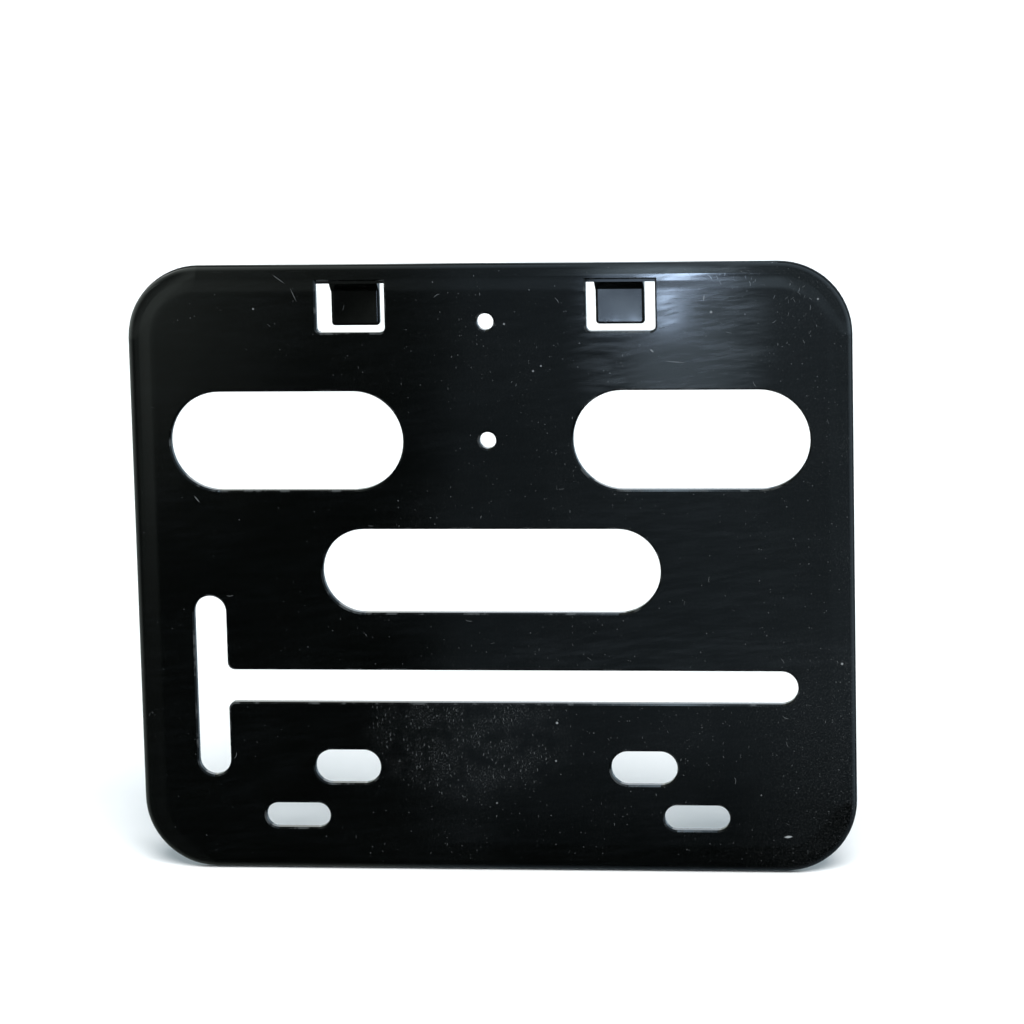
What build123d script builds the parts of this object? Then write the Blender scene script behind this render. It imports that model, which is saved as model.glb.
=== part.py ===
"""Number plate holder, moulded as one piece: a flat panel with a turned-back rim, slots and two hooks.

X runs across the panel, Z runs up it and Y runs from the flat face back to the hooks. The origin is the middle of
the inner pair of bolt slots, on the flat face. Sizes are in millimetres.
"""

import os

from build123d import *

# Panel and rim
width = 200.0
height = 170.0
corner_radius = 20.0
wall = 2.5
rim_depth = 5.0
rim_rounding = 3.5
edge_break = 0.5

# Upper pair of large slots, placed by their outer ends
side_slot_length = 65.0
side_slot_width = 27.5
side_slot_edge = 11.5
side_slot_drop = 48.5

# Large slot in the middle of the panel
centre_slot_length = 94.0
centre_slot_width = 23.5

# Strap slot: an upright bar near the left edge with a long run towards the right
bar_length = 51.0
bar_width = 9.0
bar_edge = 20.8
run_width = 9.2
run_edge = 15.6
strap_slot_rise = 52.4
strap_slot_fillet = 2.0

# Slots for the bolts, in pairs about the middle
inner_slot_pitch = 83.0
inner_slot_length = 18.5
inner_slot_width = 9.5
inner_slot_rise = 29.5
outer_slot_pitch = 112.0
outer_slot_length = 18.2
outer_slot_width = 7.0
outer_slot_rise = 15.5

# Screw holes, one above the other on the middle line
screw_hole_diameter = 4.6
screw_hole_drop = 15.7
screw_hole_pitch = 32.8

# Hooks, each behind a window that is open round its tongue
tongue_pitch = 73.2
tongue_width = 13.4
tongue_thickness = 2.5
tongue_corner = 1.0
tongue_rounding = 0.7
hook_gap = 3.0
hook_drop = 1.8
window_drop = 4.3
window_height = 14.2
window_corner = 1.4
inner_gap = 2.15
outer_gap = 3.45
tip_gap = 1.3
haunch_height = 3.3
root_drop = 0.9
root_overlap = 2.0

# Heights and depths that follow from the sizes above
top = height / 2
bottom = -height / 2
window_top = top - window_drop
window_bottom = window_top - window_height
tongue_front = wall + hook_gap
hook_back = tongue_front + tongue_thickness
tongue_left = (tongue_pitch - tongue_width) / 2
tongue_right = (tongue_pitch + tongue_width) / 2
window_left = tongue_left - inner_gap
window_right = tongue_right + outer_gap


def slab(outline, front, back):
    """Solid of an outline drawn on the flat face, between two depths behind that face."""
    return extrude(Plane.XZ.offset(-front) * outline, amount=front - back)


def box_between(left, right, low, high):
    """Rectangle given by its sides."""
    return Pos((left + right) / 2, (low + high) / 2) * Rectangle(right - left, high - low)


def both_sides(outline):
    """An outline and its mirror image about the middle line."""
    return outline + mirror(outline, about=Plane.YZ)


def panel():
    """Panel with rounded corners whose border is rounded over and turned back as a rim of even wall."""
    outside = slab(RectangleRounded(width, height, corner_radius), 0, rim_depth)
    outside = fillet(outside.faces().sort_by(Axis.Y)[0].edges(), rim_rounding)
    inside = slab(RectangleRounded(width - 2 * wall, height - 2 * wall, corner_radius - wall), wall, rim_depth)
    inside = fillet(inside.faces().sort_by(Axis.Y)[0].edges(), max(rim_rounding - wall, edge_break))
    shell = outside - inside
    return chamfer(shell.faces().sort_by(Axis.Y)[-1].edges(), edge_break)


def strap_slot():
    """The upright bar and the long run, with rounded inner corners where they meet."""
    bar_x = bar_edge - width / 2
    run_start = bar_x - bar_width / 4
    run_end = width / 2 - run_edge
    level = bottom + strap_slot_rise
    bar = Pos(bar_x, level) * SlotOverall(bar_length, bar_width, rotation=90)
    run = Pos((run_start + run_end) / 2, level) * SlotOverall(run_end - run_start, run_width)
    joined = bar + run
    inner_corners = joined.vertices().filter_by_position(Axis.X, bar_x + bar_width / 2 - 0.01, bar_x + bar_width)
    inner_corners = inner_corners.filter_by_position(Axis.Y, level - run_width, level + run_width)
    return fillet(inner_corners, strap_slot_fillet)


def window():
    """Window of the right-hand hook, with rounded lower corners."""
    outline = box_between(window_left, window_right, window_bottom, window_top)
    return fillet(outline.vertices().group_by(Axis.Y)[0], window_corner)


def openings():
    """Every opening through the panel, as one outline."""
    side_slot_x = width / 2 - side_slot_edge - side_slot_length / 2
    side_slot = Pos(side_slot_x, top - side_slot_drop) * SlotOverall(side_slot_length, side_slot_width)
    inner_slot = Pos(inner_slot_pitch / 2, bottom + inner_slot_rise) * SlotOverall(inner_slot_length, inner_slot_width)
    outer_slot = Pos(outer_slot_pitch / 2, bottom + outer_slot_rise) * SlotOverall(outer_slot_length, outer_slot_width)
    screw_holes = Pos(0, top - screw_hole_drop) * Circle(screw_hole_diameter / 2)
    screw_holes += Pos(0, top - screw_hole_drop - screw_hole_pitch) * Circle(screw_hole_diameter / 2)
    paired = both_sides(side_slot + inner_slot + outer_slot + window())
    return paired + SlotOverall(centre_slot_length, centre_slot_width) + strap_slot() + screw_holes


def hook():
    """Right-hand hook: a tongue hung behind its window from a root bar, with a sloped haunch in the corner."""
    hook_top = top - hook_drop
    root_low = window_top - root_drop
    root = box_between(window_left - root_overlap, window_right + root_overlap, root_low, hook_top)
    stem = box_between(tongue_left, tongue_right, window_bottom + tip_gap, hook_top)
    stem = fillet(stem.vertices().group_by(Axis.Y)[0], tongue_corner)
    sheet = slab(stem + root, tongue_front, hook_back)
    back_edges = sheet.faces().sort_by(Axis.Y)[-1].edges()
    front_edges = sheet.faces().sort_by(Axis.Y)[0].edges()
    tip_edges = front_edges.filter_by(lambda edge: edge.center().Z < root_low - tongue_rounding)
    sheet = fillet(back_edges + tip_edges, tongue_rounding)

    riser = slab(root, wall, tongue_front)
    slope = Polyline((wall, root_low), (tongue_front, root_low), (tongue_front, window_top - haunch_height), close=True)
    haunch = extrude(Plane.YZ.offset(tongue_left) * make_face(slope), amount=tongue_width)
    return sheet + riser + haunch


def plate_holder():
    """The whole moulding, with its origin at the middle of the inner bolt slots."""
    body = panel() - slab(openings(), -wall, 2 * wall)
    flat_face = body.faces().filter_by(Plane.XZ).sort_by(Axis.Y)[0]
    rims = [edge for wire in flat_face.inner_wires() for edge in wire.edges()]
    body = chamfer(rims, edge_break)
    right_hook = hook()
    body = body + right_hook + mirror(right_hook, about=Plane.YZ)
    return Pos(0, 0, -(bottom + inner_slot_rise)) * body


os.makedirs("parts", exist_ok=True)
holder = plate_holder()
holder.label = "plate_holder"
export_step(holder, "parts/plate_holder.step")
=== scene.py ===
"""Number plate holder in glossy black plastic, seen on a pale studio floor."""

import math

import bpy
from mathutils import Matrix, Vector


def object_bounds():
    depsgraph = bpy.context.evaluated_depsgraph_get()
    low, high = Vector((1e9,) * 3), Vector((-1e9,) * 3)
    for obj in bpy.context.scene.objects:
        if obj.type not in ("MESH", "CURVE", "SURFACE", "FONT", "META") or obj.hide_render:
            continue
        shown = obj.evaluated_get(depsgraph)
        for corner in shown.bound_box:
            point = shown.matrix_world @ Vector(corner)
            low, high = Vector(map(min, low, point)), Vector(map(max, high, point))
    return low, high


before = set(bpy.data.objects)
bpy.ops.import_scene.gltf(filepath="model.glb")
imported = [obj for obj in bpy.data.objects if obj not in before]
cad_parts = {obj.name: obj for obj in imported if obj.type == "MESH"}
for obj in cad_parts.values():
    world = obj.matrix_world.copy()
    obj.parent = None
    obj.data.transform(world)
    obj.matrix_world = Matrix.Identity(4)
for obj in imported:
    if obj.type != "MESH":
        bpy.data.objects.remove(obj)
cad_low, cad_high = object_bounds()
cad_middle = (cad_low + cad_high) / 2

bl_info = {
    "name": "Number Plate Holder",
    "version": (1, 0, 0),
    "blender": (4, 5, 0),
    "location": "3D View > Sidebar > Plate Holder",
    "description": "Finishes a moulded number plate holder and sets its studio",
    "category": "Object",
}

HOLDER = "plate_holder"
SLOT = "black_plastic"

# Sizes of the moulding that its finish follows, in metres: the panel's corners, how far in from the outline the
# border starts to roll over, the scale of that roll, and the middle of the hooks' tongues
CORNER_RADIUS = 0.020
ROLL_START = 0.0085
ROLL_SCALE = 0.0050
TONGUE_X = 0.0366
TONGUE_Z = 0.129

# Depths behind the flat face between which a finish goes from none to full, in metres
ON_EDGE_BREAK = (0.00065, 0.00055)
ON_FACE = (0.0012, 0.0006)
ON_FRONT = (0.0022, 0.0014)
ON_PANEL = (0.0030, 0.0020)
ON_TONGUES = (0.0030, 0.0040)

# Areas of the face with dirt or wear of their own, the wiped one also with a painted sheen of bluish light: middle
# x and z, and reach along x and z, in metres
DUSTY_AREA = ((-0.007, 0.009), (0.034, 0.021))
# The wiped area's smears also carry a painted sheen of bluish light in the base colour
WIPED_AND_SHEEN_AREA = ((0.051, 0.121), (0.031, 0.037))
BRUSHED_BAND = ((0.050, 0.032), (0.060, 0.009))
BRUSHED_AREA = ((0.056, 0.058), (0.044, 0.036))
SCUFFED_BORDER = ((0.0645, 0.1370), (0.0140, 0.0045))
SCUFFED_CORNER = ((0.0840, 0.1270), (0.0080, 0.0100))

# Optics of the plastic, and the roughness of dirt and of a full smear on top of the clean plastic's
PLASTIC_IOR = 1.49
DIRT_ROUGHNESS = 0.62
SMEAR_ROUGHNESS = 0.10

# Marks that stand out on the flat face: middle x and z, length, width (all in mm), slant in degrees, strength
FACE_MARKS = (
    (81.2, -19.1, 2.7, 0.85, 5.0, 1.00),
    (-81.7, 75.8, 2.8, 0.34, -52.0, 0.45),
    (-56.8, 137.0, 5.0, 0.28, -36.0, 0.26),
    (-52.8, 132.6, 5.0, 0.28, -66.0, 0.26),
    (52.0, 113.5, 7.0, 0.40, -5.0, 0.24),
    (60.1, 131.0, 2.0, 0.40, 82.0, 0.45),
    (45.7, 116.6, 1.6, 0.60, -42.0, 0.50),
)

# Bright specks on the flat face: x, z and size in mm, and strength
FACE_SPECKS = (
    (17.5, 12.8, 0.90, 0.80),
    (17.0, 2.0, 0.75, 0.55),
    (5.3, 124.2, 0.75, 0.55),
    (13.0, 111.2, 0.80, 0.45),
    (15.2, 112.6, 0.70, 0.50),
    (-64.1, 128.8, 0.75, 0.50),
    (62.0, 127.1, 0.95, 0.55),
    (91.0, 130.5, 0.75, 0.55),
    (96.5, 29.8, 0.90, 0.75),
    (0.2, -10.1, 0.70, 0.45),
)

# Window panes mirrored in the face: middle from the holder's middle, width and height, all in metres, and share of
# the window's glow
WINDOW_PANES = (
    ("window_core", (-0.0059, -0.60, 0.0030), 0.0072, 0.0290, 17.0),
    ("window_core_top", (-0.0034, -0.60, 0.0465), 0.0124, 0.0720, 28.0),
    ("window_core_rise", (-0.0050, -0.60, 0.2670), 0.0180, 0.3690, 24.0),
    ("window_side", (-0.0166, -0.60, 0.0027), 0.0380, 0.0330, 1.7),
    ("window_side_rise", (-0.0105, -0.60, 0.2340), 0.0540, 0.4330, 1.5),
)

# Power of a pane for each square metre of it, at a share of 1
PANE_POWER = 4.0

# The two lights of the studio: where each stands from the holder's middle, and its spread or size, in metres
KEY_OFFSET = (0.5, -2.0, 2.1)
KEY_SPREAD = math.radians(36.0)
BACK_OFFSET = (-0.6, 2.2, 1.1)
BACK_SIZE = (2.2, 1.6)

# Soft glow round the window panes in the surroundings: middle and reach, as slopes across and up
HALO_AREA = ((-0.0920, -0.136), (0.0150, 0.035))

# Turns a direction's sideways and upward parts into slopes, near enough for directions close to straight ahead
SLOPE = 1.02

FLOOR_SIDES = 96
SENSOR_WIDTH = 36.0


# Shader expressions


class Value:
    """A number that varies over a surface, written with Python's own operators."""

    def __init__(self, graph, socket):
        self.graph = graph
        self.socket = socket

    def __add__(self, other):
        return self.graph.math("ADD", self, other)

    __radd__ = __add__

    def __sub__(self, other):
        return self.graph.math("SUBTRACT", self, other)

    def __rsub__(self, other):
        return self.graph.math("SUBTRACT", other, self)

    def __mul__(self, other):
        return self.graph.math("MULTIPLY", self, other)

    __rmul__ = __mul__

    def __truediv__(self, other):
        return self.graph.math("DIVIDE", self, other)

    def __rtruediv__(self, other):
        return self.graph.math("DIVIDE", other, self)

    def __pow__(self, other):
        return self.graph.math("POWER", self, other)

    def __rpow__(self, other):
        return self.graph.math("POWER", other, self)

    def __abs__(self):
        return self.graph.math("ABSOLUTE", self)

    def __neg__(self):
        return self.graph.math("MULTIPLY", self, -1.0)

    def least(self, other):
        return self.graph.math("MINIMUM", self, other)

    def most(self, other):
        return self.graph.math("MAXIMUM", self, other)

    def sine(self):
        return self.graph.math("SINE", self)

    def cosine(self):
        return self.graph.math("COSINE", self)

    def clamped(self):
        return self.graph.math("ADD", self, 0.0, clamp=True)

    def step(self, low, high):
        """0 at or below low and 1 at or above high, or the other way round if low is the larger, eased between."""
        settings = {"interpolation_type": "SMOOTHSTEP"}
        sockets = {"Value": self, "From Min": low, "From Max": high, "To Min": 0.0, "To Max": 1.0}
        if low > high:
            sockets.update({"From Min": high, "From Max": low, "To Min": 1.0, "To Max": 0.0})
        node = self.graph.node("ShaderNodeMapRange", settings, sockets)
        return Value(self.graph, node.outputs["Result"])


class Graph:
    """The nodes of one material or world."""

    def __init__(self, tree):
        self.tree = tree
        self.tree.nodes.clear()

    def node(self, kind, settings=None, sockets=None):
        """A node of any kind: its settings are set first, then its sockets' values or links."""
        made = self.tree.nodes.new(kind)
        for key, value in (settings or {}).items():
            setattr(made, key, value)
        for key, value in (sockets or {}).items():
            link = value.socket if isinstance(value, Value) else value
            if isinstance(link, bpy.types.NodeSocket):
                self.tree.links.new(link, made.inputs[key])
            else:
                made.inputs[key].default_value = value
        return made

    def math(self, operation, *terms, clamp=False):
        """A Math node on one number or two, of which either may be plain."""
        node = self.node("ShaderNodeMath", {"operation": operation, "use_clamp": clamp}, dict(enumerate(terms)))
        return Value(self, node.outputs[0])

    def mix(self, share, first, second):
        """Two colours mixed by a share."""
        settings = {"data_type": "RGBA", "clamp_factor": True}
        node = self.node("ShaderNodeMix", settings, {0: share, 6: first, 7: second})
        return node.outputs[2]

    def vector(self, operation, *terms):
        """A Vector Math node on two or three vectors."""
        return self.node("ShaderNodeVectorMath", {"operation": operation}, dict(enumerate(terms))).outputs[0]

    def measure(self, operation, first, second):
        """A Vector Math node on two vectors that gives a number."""
        node = self.node("ShaderNodeVectorMath", {"operation": operation}, {0: first, 1: second})
        return Value(self, node.outputs["Value"])

    def split(self, vector):
        """The three numbers of a vector."""
        node = self.node("ShaderNodeSeparateXYZ", None, {0: vector})
        return tuple(Value(self, out) for out in node.outputs)

    def join(self, x, y, z):
        """A vector of three numbers."""
        return self.node("ShaderNodeCombineXYZ", None, {0: x, 1: y, 2: z}).outputs[0]

    def noise(self, place, scale, detail=2.0, roughness=0.5):
        """Smooth noise from 0 to 1."""
        sockets = {"Vector": place, "Scale": scale, "Detail": detail, "Roughness": roughness}
        return Value(self, self.node("ShaderNodeTexNoise", None, sockets).outputs[0])

    def cells(self, place, scale, flat=False):
        """Voronoi cells: distance to the nearest centre, a random colour for each cell, and its centre."""
        settings = {"voronoi_dimensions": "2D" if flat else "3D", "feature": "F1"}
        node = self.node("ShaderNodeTexVoronoi", settings, {"Vector": place, "Scale": scale})
        return Value(self, node.outputs["Distance"]), node.outputs["Color"], node.outputs["Position"]

    def surface(self, sockets):
        """A material's one shader, with the values or links of its sockets."""
        shader = self.node("ShaderNodeBsdfPrincipled", None, sockets)
        self.node("ShaderNodeOutputMaterial", None, {"Surface": shader.outputs[0]})


def strongest(values):
    """The largest of several numbers at each point."""
    first, *others = values
    for value in others:
        first = first.most(value)
    return first


def soft_spot(x, z, middle, reach):
    """1 in the middle of an ellipse and 0 from its outline outwards."""
    return (((x - middle[0]) / reach[0]) ** 2.0 + ((z - middle[1]) / reach[1]) ** 2.0).step(1.0, 0.1)


# Finishes


def dust(graph, place, scale, size, share):
    """Round specks, a share of them shown, most of them faint and each with its own size."""
    distance, colour, _ = graph.cells(place, scale)
    chance, spread, tone = graph.split(colour)
    radius = size * (0.5 + 0.8 * spread)
    speck = (distance / radius).step(1.0, 0.4)
    return speck * (share - chance).step(0.0, 0.02) * (0.12 + 0.88 * tone ** 3.0)


def lint(graph, place, scale, length, width, share, lean=1.0):
    """Short fibres and scratches, one at most in a cell: upright at a lean of 0, at any slant at a lean of 1."""
    _, colour, centre = graph.cells(place, scale, flat=True)
    chance, turn, tone = graph.split(colour)
    away_x, away_y, _ = graph.split(graph.vector("SUBTRACT", place, centre))
    slant = math.pi / 2 + (turn - 0.5) * (lean * math.tau)
    along = away_x * slant.cosine() + away_y * slant.sine()
    across = away_y * slant.cosine() - away_x * slant.sine()
    bow = along * along * (tone - 0.5) * (0.6 / length)
    reach = length * (0.3 + 0.7 * tone)
    line = abs(across - bow).step(width, 0.3 * width) * (abs(along) / reach).step(1.0, 0.5)
    return line * (share - chance).step(0.0, 0.02) * (0.15 + 0.85 * tone * tone)


def face_mark(graph, place, mark):
    """One listed scratch or chip on the flat face, pointed at both ends."""
    x, z, length, width, slant, strength = mark
    turn = math.radians(slant)
    half = length / 2000
    thick = width / 2000
    away = graph.vector("SUBTRACT", place, (x / 1000, 0.0, z / 1000))
    along = graph.measure("DOT_PRODUCT", away, (math.cos(turn) / half, 0.0, math.sin(turn) / half))
    across = graph.measure("DOT_PRODUCT", away, (-math.sin(turn) / thick, 0.0, math.cos(turn) / thick))
    return (abs(across) + along * along).step(1.0, 0.35) * strength


def face_speck(graph, place, speck):
    """One listed bright speck on the flat face."""
    x, z, size, strength = speck
    radius = size / 2000
    return graph.measure("DISTANCE", place, (x / 1000, 0.0, z / 1000)).step(radius, 0.35 * radius) * strength


def from_border(x, z):
    """Distance in from the panel's outline with its rounded corners."""
    past_x = abs(x - cad_middle.x) - (cad_high.x - cad_middle.x - CORNER_RADIUS)
    past_z = abs(z - cad_middle.z) - (cad_high.z - cad_middle.z - CORNER_RADIUS)
    outside = (past_x.most(0.0) ** 2.0 + past_z.most(0.0) ** 2.0) ** 0.5
    return CORNER_RADIUS - outside - past_x.most(past_z).least(0.0)


class PlasticFinish:
    """Dirt, wear, a painted sheen and relief of the moulding, all laid out by its own coordinates."""

    def __init__(self, graph, settings):
        self.graph = graph
        self.settings = settings
        self.place = graph.node("ShaderNodeTexCoord").outputs["Object"]
        self.x, self.y, self.z = graph.split(self.place)
        self.patches = graph.noise(self.place, 30.0, 3.0, 0.55)
        self.clumps = graph.noise(self.place, 170.0, 3.0, 0.6)
        self.on_face = self.y.step(*ON_FACE)
        self.dusty = self.on_face * self.area(DUSTY_AREA)
        # Dust, lint and the dull film thin out towards the left, which leaves the left of the face darker
        self.thin_left = 0.30 + 0.70 * self.x.step(-0.070, 0.010)

    def area(self, area):
        """1 in the middle of one of the face's areas and 0 outside it."""
        return soft_spot(self.x, self.z, *area)

    def dirt(self):
        """Dust, lint, scratches and marks: 0 on clean plastic and 1 where it is covered."""
        graph, place, settings = self.graph, self.place, self.settings

        # Dirt gathers in patches all over, in clumps low in the middle, and towards the right
        crowd = self.patches.step(0.40, 0.70)
        low_crowd = self.dusty * self.clumps.step(0.38, 0.58)
        right_crowd = self.x.step(0.062, 0.090) * (0.35 + 0.65 * self.z.step(0.045, 0.020))

        density = self.thin_left * (0.08 + 0.36 * crowd) + 0.20 * low_crowd + 0.45 * right_crowd
        density = settings.dust * density
        fine = dust(graph, place, 1700.0, 0.30, density)
        coarse = dust(graph, place, 420.0, 0.100, density * 0.30)
        grit = graph.noise(place, 2600.0, 2.0, 0.6).step(0.46, 0.78)
        grit = grit * settings.dust * (0.05 * crowd * self.thin_left + 0.22 * low_crowd + 0.13 * right_crowd)

        # Lint lies on a flat map of the face, slanted with depth so that it doesn't stretch over the walls
        face_place = graph.join(self.x + 7.3 * self.y, self.z + 5.1 * self.y, 0.0)
        tangle = settings.scratches * (0.10 * crowd * self.thin_left + 1.2 * low_crowd)
        fibres = lint(graph, face_place, 850.0, 0.00048, 0.00009, tangle, 0.16)
        strays = settings.scratches * (0.10 + 0.35 * right_crowd)
        hairs = lint(graph, face_place, 150.0, 0.0011, 0.00008, strays)
        scuffed = self.area(SCUFFED_BORDER).most(self.area(SCUFFED_CORNER))
        scuffs = lint(graph, face_place, 620.0, 0.0009, 0.00008, settings.scratches * self.on_face * scuffed, 0.35)

        marks = strongest(face_mark(graph, place, mark) for mark in FACE_MARKS) * self.on_face
        specks = strongest(face_speck(graph, place, speck) for speck in FACE_SPECKS)
        layers = (
            fine * 0.28, coarse * 0.66, fibres * 0.42, hairs * 0.40, scuffs * 0.36,
            grit, self.nicks() * 0.14, marks, specks,
        )
        return strongest(layers).clamped()

    def nicks(self):
        """Pale nicks along the broken edges of the slots, found by the slant of those edges."""
        normal = self.graph.node("ShaderNodeNewGeometry").outputs["True Normal"]
        _, facing, _ = self.graph.split(normal)
        slanted = abs(facing).step(0.45, 0.60) * abs(facing).step(0.82, 0.76)
        return slanted * self.y.step(*ON_EDGE_BREAK) * self.clumps.step(0.50, 0.62)

    def wear(self):
        """The wiped patch's smears, from 0 to 1, and the dull film that handling left on the whole face, which in
        the smears is a painted sheen of bluish light.
        """
        graph, place = self.graph, self.place
        x, y, z = self.x, self.y, self.z

        # Streaks run in two directions, a little bent
        bent = graph.join(0.0, 0.0, 3.0 * self.patches)
        level = graph.noise(graph.vector("MULTIPLY_ADD", place, (45.0, 60.0, 700.0), bent), 1.0, 5.0, 0.65)
        leant = graph.join(50.0 * (x + 0.20 * z), 60.0 * y, 620.0 * (z - 0.20 * x))
        cross = graph.noise(graph.vector("ADD", leant, bent), 1.0, 5.0, 0.65)
        streaks = (level + cross) * 0.5
        wipes = graph.noise(graph.vector("MULTIPLY", place, (40.0, 40.0, 80.0)), 1.0, 3.0, 0.6)

        front = y.step(*ON_FRONT)
        # In the wiped patch the smears roughen the plastic, and the same smears lighten its base colour as a
        # painted sheen of bluish light
        wiped_and_sheen = front * (0.04 + 0.96 * self.area(WIPED_AND_SHEEN_AREA))
        smear_and_sheen = wiped_and_sheen * streaks.step(0.40, 0.64) * (0.45 + 0.55 * wipes.step(0.35, 0.65))
        brushed = self.area(BRUSHED_BAND).most(0.6 * self.area(BRUSHED_AREA)) * front * streaks.step(0.42, 0.62)
        # The film is the dull haze that handling left, plus a painted sheen in the smears, which lightens the face
        # far more than the haze
        film_and_sheen = 0.017 * self.thin_left * wipes.step(0.42, 0.75) + 0.027 * self.dusty + 0.080 * brushed + 0.80 * smear_and_sheen
        return smear_and_sheen, film_and_sheen

    def relief(self, dirt):
        """Normal of the wavy plastic, with its rolled border, the hooks' uneven tongues and raised dirt."""
        graph, place, z = self.graph, self.place, self.z
        ripple = graph.noise(place, 30.0, 1.0, 0.4)

        aside = abs(self.x) - TONGUE_X
        sway = aside * aside * 13000.0 - aside * (60.0 + 290.0 * z.step(0.133, 0.122))
        dimples = graph.noise(place, 240.0, 0.0)
        warp = (sway - 120.0 * (z - TONGUE_Z) + 0.20 * dimples) * self.y.step(*ON_TONGUES)

        inward = from_border(self.x, z)
        rolled = ((ROLL_START - inward).most(0.0) / ROLL_SCALE) ** 3.0 * self.y.step(*ON_PANEL)

        height = ripple + 0.05 * dirt + warp - 4.4 * rolled
        sockets = {"Strength": 1.0, "Distance": self.settings.ripple, "Height": height}
        return graph.node("ShaderNodeBump", None, sockets).outputs[0]


def opaque(colour):
    """A setting's colour with full alpha."""
    return tuple(colour) + (1.0,)


def new_material(name):
    """An empty material and the graph of its nodes."""
    material = bpy.data.materials.new(name)
    material.use_nodes = True
    return material, Graph(material.node_tree)


def black_plastic(settings):
    """Glossy black moulding with a wiped patch that carries a painted sheen, lint, dust, short scratches and nicked
    edges.
    """
    material, graph = new_material(SLOT)
    finish = PlasticFinish(graph, settings)
    dirt = finish.dirt()
    smear_and_sheen, film_and_sheen = finish.wear()
    # The base colour goes towards the haze colour by the film, and in the wiped patch by a painted sheen of bluish
    # light
    ground = graph.mix(film_and_sheen, opaque(settings.colour), opaque(settings.haze_and_sheen_colour))
    gloss = settings.roughness + SMEAR_ROUGHNESS * smear_and_sheen
    graph.surface({
        "Base Color": graph.mix(dirt, ground, opaque(settings.dust_colour)),
        "Roughness": gloss * (1.0 - dirt) + DIRT_ROUGHNESS * dirt,
        "IOR": PLASTIC_IOR,
        "Normal": finish.relief(dirt),
    })
    return material


def studio_floor(colour):
    """Even matt floor."""
    material, graph = new_material("studio_floor")
    graph.surface({"Base Color": opaque(colour), "Roughness": 1.0, "Specular IOR Level": 0.0})
    return material


# Settings


class PlasticSettings(bpy.types.PropertyGroup):
    """Finish of the moulding."""

    colour: bpy.props.FloatVectorProperty(
        name="Colour",
        description="Colour of the clean plastic",
        default=(0.0006, 0.0008, 0.0007),
        size=3,
        min=0.0,
        max=1.0,
        subtype="COLOR",
    )
    # The haze colour is also the colour of the painted sheen in the wiped patch
    haze_and_sheen_colour: bpy.props.FloatVectorProperty(
        name="Haze colour",
        description="Colour of the dull film left by handling",
        default=(0.030, 0.035, 0.040),
        size=3,
        min=0.0,
        max=1.0,
        subtype="COLOR",
    )
    dust_colour: bpy.props.FloatVectorProperty(
        name="Dust colour",
        description="Colour of dust, lint and scratches",
        default=(0.21, 0.224, 0.228),
        size=3,
        min=0.0,
        max=1.0,
        subtype="COLOR",
    )
    roughness: bpy.props.FloatProperty(
        name="Roughness",
        description="Roughness of the clean plastic",
        default=0.052,
        min=0.0,
        max=1.0,
        subtype="FACTOR",
    )
    dust: bpy.props.FloatProperty(
        name="Dust",
        description="Share of the possible specks that show",
        default=0.55,
        min=0.0,
        max=1.0,
        subtype="FACTOR",
    )
    scratches: bpy.props.FloatProperty(
        name="Scratches",
        description="Share of the possible scratches that show",
        default=0.60,
        min=0.0,
        max=1.0,
        subtype="FACTOR",
    )
    ripple: bpy.props.FloatProperty(
        name="Ripple",
        description="Depth of the moulded face's slight waviness",
        default=0.00004,
        min=0.0,
        max=0.001,
        precision=6,
        unit="LENGTH",
    )


class StageSettings(bpy.types.PropertyGroup):
    """Floor, light and camera."""

    floor_colour: bpy.props.FloatVectorProperty(
        name="Floor colour",
        description="Colour of the pale floor",
        default=(0.90, 0.90, 0.90),
        size=3,
        min=0.0,
        max=1.0,
        subtype="COLOR",
    )
    floor_gap: bpy.props.FloatProperty(
        name="Floor gap",
        description="Height of the holder's lower edge above the floor",
        default=0.0003,
        min=0.0,
        max=1.0,
        unit="LENGTH",
    )
    floor_radius: bpy.props.FloatProperty(
        name="Floor radius",
        description="Radius of the round floor",
        default=12.0,
        min=1.0,
        max=50.0,
        unit="LENGTH",
    )
    key_strength: bpy.props.FloatProperty(
        name="Key strength",
        description="Strength of the broad light from above",
        default=4.3,
        min=0.0,
        max=50.0,
    )
    back_power: bpy.props.FloatProperty(
        name="Back power",
        description="Power of the soft light behind the holder",
        default=8.0,
        min=0.0,
        max=1000.0,
        unit="POWER",
    )
    window_glow: bpy.props.FloatProperty(
        name="Window glow",
        description="Brightness of the window panes that the face mirrors",
        default=1.0,
        min=0.0,
        max=100.0,
    )
    window_colour: bpy.props.FloatVectorProperty(
        name="Window colour",
        description="Colour of the daylight from the window panes",
        default=(0.57, 0.74, 1.0),
        size=3,
        min=0.0,
        max=1.0,
        subtype="COLOR",
    )
    camera_place: bpy.props.FloatVectorProperty(
        name="Camera place",
        description="Where the camera stands",
        default=(0.162721, -1.191947, 0.282311),
        size=3,
        subtype="TRANSLATION",
        unit="LENGTH",
    )
    camera_turn: bpy.props.FloatVectorProperty(
        name="Camera turn",
        description="Camera's tilt, roll and heading, from a level view along +Y",
        default=(math.radians(-9.918), math.radians(1.337), math.radians(7.476)),
        size=3,
        subtype="EULER",
        unit="ROTATION",
    )
    lens: bpy.props.FloatProperty(
        name="Lens",
        description="Focal length on a 36 mm sensor, in millimetres",
        default=156.09,
        min=1.0,
        max=500.0,
    )


# Operators


class HOLDER_OT_moulding(bpy.types.Operator):
    """Give the moulded holder its black plastic"""

    bl_idname = "holder.moulding"
    bl_label = "Finish the Moulding"

    def execute(self, context):
        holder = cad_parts.get(HOLDER)
        if holder is None:
            raise RuntimeError("the frame has no node named " + HOLDER)
        holder.material_slots[0].material = black_plastic(context.scene.holder_plastic)
        return {"FINISHED"}


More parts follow.
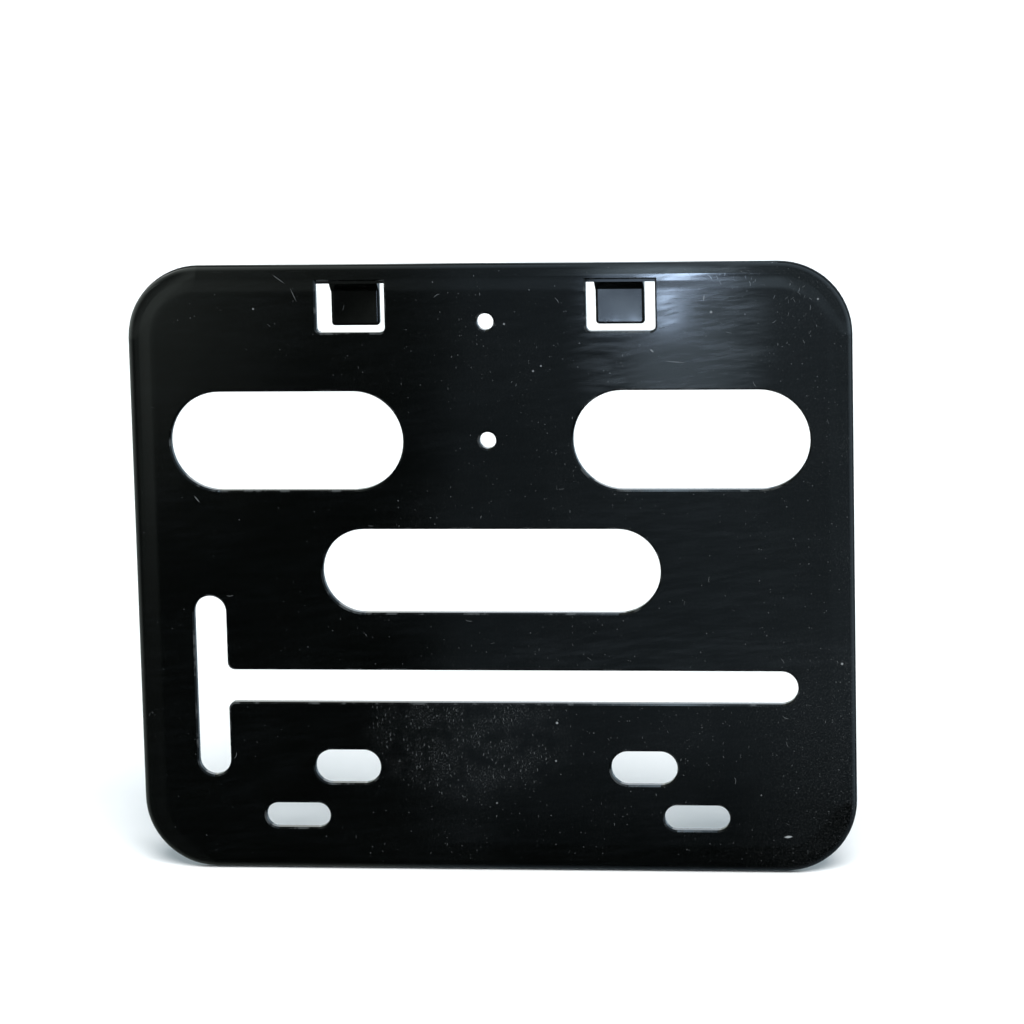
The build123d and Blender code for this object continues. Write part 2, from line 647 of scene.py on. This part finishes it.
class HOLDER_OT_stage(bpy.types.Operator):
    """Set the pale floor, the soft light and the camera"""

    bl_idname = "holder.stage"
    bl_label = "Set the Studio"

    def execute(self, context):
        scene = context.scene
        stage = scene.holder_stage
        self.floor(scene, stage)
        self.lights(scene, stage)
        self.surroundings(scene)
        self.camera(scene, stage)
        scene.view_settings.view_transform = "Standard"
        scene.view_settings.look = "None"
        return {"FINISHED"}

    def floor(self, scene, stage):
        """A round floor under the holder, kept out of the plastic's reflections."""
        mesh = bpy.data.meshes.new("floor")
        radius = stage.floor_radius
        turns = [math.tau * side / FLOOR_SIDES for side in range(FLOOR_SIDES)]
        rim = [(radius * math.cos(turn), radius * math.sin(turn), 0.0) for turn in turns]
        mesh.from_pydata(rim, [], [tuple(range(FLOOR_SIDES))])
        floor = bpy.data.objects.new("floor", mesh)
        floor.location.z = cad_low.z - stage.floor_gap
        floor.visible_glossy = False
        mesh.materials.append(studio_floor(stage.floor_colour))
        scene.collection.objects.link(floor)

    def lamp(self, scene, name, kind, place, aim, on_matt, in_gloss, **values):
        """A light aimed at a place, that falls on matt surfaces or not and is mirrored in gloss or not."""
        data = bpy.data.lights.new(name, kind)
        for key, value in values.items():
            setattr(data, key, value)
        lamp = bpy.data.objects.new(name, data)
        lamp.location = place
        lamp.rotation_euler = (aim - place).to_track_quat("-Z", "Y").to_euler()
        lamp.visible_camera = False
        lamp.visible_diffuse = on_matt
        lamp.visible_glossy = in_gloss
        scene.collection.objects.link(lamp)

    def lights(self, scene, stage):
        """A broad key, a softer light from behind, and the small window panes that the face mirrors."""
        self.lamp(
            scene, "key", "SUN", cad_middle + Vector(KEY_OFFSET), cad_middle, on_matt=True, in_gloss=False,
            energy=stage.key_strength, angle=KEY_SPREAD,
        )
        self.lamp(
            scene, "behind", "AREA", cad_middle + Vector(BACK_OFFSET), cad_middle, on_matt=True, in_gloss=True,
            energy=stage.back_power, shape="RECTANGLE", size=BACK_SIZE[0], size_y=BACK_SIZE[1],
        )
        for name, offset, wide, tall, share in WINDOW_PANES:
            place = cad_middle + Vector(offset)
            self.lamp(
                scene, name, "AREA", place, place + Vector((0.0, 1.0, 0.0)), on_matt=False, in_gloss=True,
                energy=stage.window_glow * share * PANE_POWER * wide * tall, color=stage.window_colour,
                shape="RECTANGLE", size=wide, size_y=tall,
            )

    def surroundings(self, scene):
        """Dim surroundings with soft lighter areas that the face mirrors."""
        world = bpy.data.worlds.new("studio")
        world.use_nodes = True
        graph = Graph(world.node_tree)
        x, y, z = graph.split(graph.node("ShaderNodeTexCoord").outputs["Generated"])
        across = SLOPE * x
        rise = SLOPE * z
        glow = self.room_glow(across, rise, y)

        # The room behind the holder, which its back mirrors
        behind = y.step(0.0, 0.45) * (0.08 + 0.40 * z.step(-0.60, 0.10)) * (0.55 + 0.45 * x.step(-0.7, 0.7))

        # Greenish to the left and bluish to the right
        tint = graph.mix(across.step(-0.165, -0.140), (0.88, 1.0, 0.94, 1.0), (0.66, 0.85, 1.0, 1.0))
        sky = graph.node("ShaderNodeBackground", None, {"Color": tint, "Strength": glow + behind})
        graph.node("ShaderNodeOutputWorld", None, {"Surface": sky.outputs[0]})
        scene.world = world

    def room_glow(self, across, rise, y):
        """Brightness of the room in front of the holder, by the slopes across and up of the direction mirrored."""
        front = (-y).step(-0.60, 0.40)

        # Lit wall that the right half of the face mirrors, and the halo round the window panes
        wall = (0.185 + 0.09 * across.step(-0.125, -0.080)) * across.step(-0.153, -0.141)
        wall = wall * rise.step(-0.262, -0.214) * (0.35 + 0.65 * front)
        halo = 1.70 * soft_spot(across, rise, *HALO_AREA)

        # Paler areas that the face's upper corners mirror
        upper_right = 0.10 * across.step(-0.118, -0.085) * across.step(0.15, -0.05) * rise.step(-0.168, -0.118)
        upper_left = 0.27 * across.step(-0.172, -0.222) * across.step(-0.60, -0.25) * rise.step(-0.195, -0.118)

        # Ceiling, mirrored in the rounded top border, with a hump of light over the window
        hump = 0.07 + 0.10 * across.step(-0.150, -0.120)
        hump = hump + 0.60 * across.step(-0.105, -0.085) * across.step(-0.02, -0.07)
        ceiling = rise.step(-0.118, -0.085) * (0.06 + hump * rise.step(0.12, 0.0))
        ceiling = ceiling + 0.04 * rise.step(-0.165, -0.120)

        # Upright strip of light high above the window panes
        column = 4.0 * abs(across + 0.0945).step(0.0070, 0.0025) + 1.5 * abs(across + 0.0985).step(0.020, 0.008)
        column = column * rise.step(0.25, 0.45) * front

        # Sides, mirrored in the rounded left and right borders
        right_side = 0.07 * across.step(-0.06, 0.02) * rise.step(-0.30, -0.16) * front
        left_low = 0.04 * across.step(-0.222, -0.260)
        left_side = 0.13 * across.step(-0.222, -0.260) * (-y).step(0.05, 0.75) * rise.step(-0.215, -0.165)
        sides = right_side + left_low + left_side

        return 0.010 + wall + halo + upper_right + upper_left + ceiling + column + sides

    def camera(self, scene, stage):
        """The photograph's viewpoint."""
        data = bpy.data.cameras.new("camera")
        data.sensor_fit = "HORIZONTAL"
        data.sensor_width = SENSOR_WIDTH
        data.lens = stage.lens
        data.clip_start = 0.01
        data.clip_end = 100.0
        camera = bpy.data.objects.new("camera", data)
        tilt, roll, heading = stage.camera_turn
        turn = Matrix.Rotation(heading, 4, "Z") @ Matrix.Rotation(tilt, 4, "X") @ Matrix.Rotation(roll, 4, "Y")
        level = Matrix.Rotation(math.radians(90.0), 4, "X")
        camera.matrix_world = Matrix.Translation(Vector(stage.camera_place)) @ turn @ level
        scene.collection.objects.link(camera)
        scene.camera = camera


class HOLDER_PT_panel(bpy.types.Panel):
    """The holder's finish and its studio"""

    bl_idname = "HOLDER_PT_panel"
    bl_label = "Number Plate Holder"
    bl_space_type = "VIEW_3D"
    bl_region_type = "UI"
    bl_category = "Plate Holder"

    def draw(self, context):
        for title, settings, operator in (
            ("Moulding", context.scene.holder_plastic, HOLDER_OT_moulding),
            ("Studio", context.scene.holder_stage, HOLDER_OT_stage),
        ):
            box = self.layout.box()
            box.label(text=title)
            for name in settings.__annotations__:
                box.prop(settings, name)
            box.operator(operator.bl_idname)


CLASSES = (PlasticSettings, StageSettings, HOLDER_OT_moulding, HOLDER_OT_stage, HOLDER_PT_panel)


def register():
    for item in CLASSES:
        bpy.utils.register_class(item)
    bpy.types.Scene.holder_plastic = bpy.props.PointerProperty(type=PlasticSettings)
    bpy.types.Scene.holder_stage = bpy.props.PointerProperty(type=StageSettings)


def unregister():
    del bpy.types.Scene.holder_stage
    del bpy.types.Scene.holder_plastic
    for item in reversed(CLASSES):
        bpy.utils.unregister_class(item)


def main():
    """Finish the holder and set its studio."""
    register()
    bpy.ops.holder.moulding()
    bpy.ops.holder.stage()


if __name__ == "__main__":
    main()
